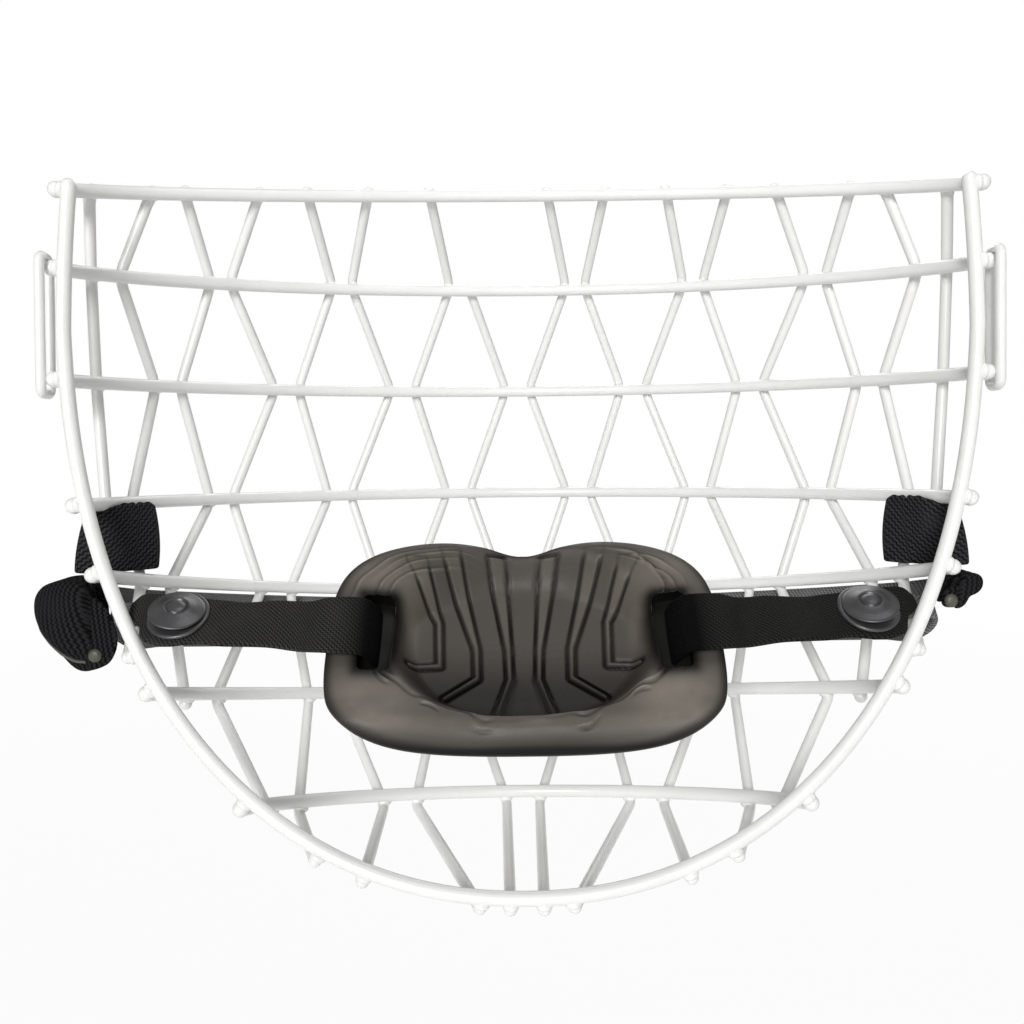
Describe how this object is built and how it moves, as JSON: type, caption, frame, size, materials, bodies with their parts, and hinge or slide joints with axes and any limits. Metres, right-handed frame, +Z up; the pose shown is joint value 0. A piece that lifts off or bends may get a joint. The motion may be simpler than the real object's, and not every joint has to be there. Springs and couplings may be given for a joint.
{
  "type": "ringette face mask",
  "caption": "Welded wire face mask for a helmet, with a truss-like zigzag grille, ear loops, and a moulded chin cup on a snap-fastened strap.",
  "frame": {"origin": "midway between the two ear loops, on the line that joins their middles", "axes": "+X to the wearer's right, +Y forward out of the face, +Z up"},
  "size_m": [0.2273, 0.1221, 0.1773],
  "materials": {
    "coated_wire": "gloss dip coat",
    "cup_rubber": "satin moulded",
    "strap_webbing": "fine weave",
    "outer_webbing": "fine weave",
    "side_webbing": "coarse weave",
    "snap_metal": "dark satin",
    "rivet_metal": "worn"
  },
  "bodies": {
    "cage": {"rim_wire": "coated_wire", "brow_wire": "coated_wire", "cross_wire_1": "coated_wire", "cross_wire_2": "coated_wire", "cross_wire_3": "coated_wire", "cross_wire_4": "coated_wire", "cross_wire_5": "coated_wire", "cross_wire_6": "coated_wire", "zigzag_left_a": "coated_wire", "zigzag_left_b": "coated_wire", "zigzag_left_c": "coated_wire", "zigzag_left_d": "coated_wire", "zigzag_left_e": "coated_wire", "zigzag_left_f": "coated_wire", "zigzag_left_g": "coated_wire", "zigzag_right_a": "coated_wire", "zigzag_right_b": "coated_wire", "zigzag_right_c": "coated_wire", "zigzag_right_d": "coated_wire", "zigzag_right_e": "coated_wire", "zigzag_right_f": "coated_wire", "zigzag_right_g": "coated_wire", "upright_left": "coated_wire", "upright_right": "coated_wire", "ear_loop_left": "coated_wire", "ear_loop_right": "coated_wire", "chin_strap": "strap_webbing", "outer_strap": "outer_webbing", "snap_cap_left": "snap_metal", "snap_cap_right": "snap_metal", "snap_stud_left": "snap_metal", "snap_stud_right": "snap_metal", "side_loop_left": "side_webbing", "side_loop_right": "side_webbing"},
    "cup": {"chin_cup": "cup_rubber"},
    "fold_left": {"side_fold_left": "side_webbing", "fold_rivet_left": "rivet_metal"},
    "fold_right": {"side_fold_right": "side_webbing", "fold_rivet_right": "rivet_metal"}
  },
  "joints": [
    {"name": "cup_rock", "type": "hinge", "parent": "cage", "child": "cup", "pos_m": [0, -0.0063, -0.0706], "axis": [1, 0, 0], "range_deg": [-4, 4]},
    {"name": "left_fold_swing", "type": "hinge", "parent": "cage", "child": "fold_left", "pos_m": [-0.1085, 0.01, -0.059], "axis": [0, 1, 0], "range_deg": [0, 60]},
    {"name": "right_fold_swing", "type": "hinge", "parent": "cage", "child": "fold_right", "pos_m": [0.1085, 0.01, -0.059], "axis": [0, -1, 0], "range_deg": [0, 60]}
  ]
}
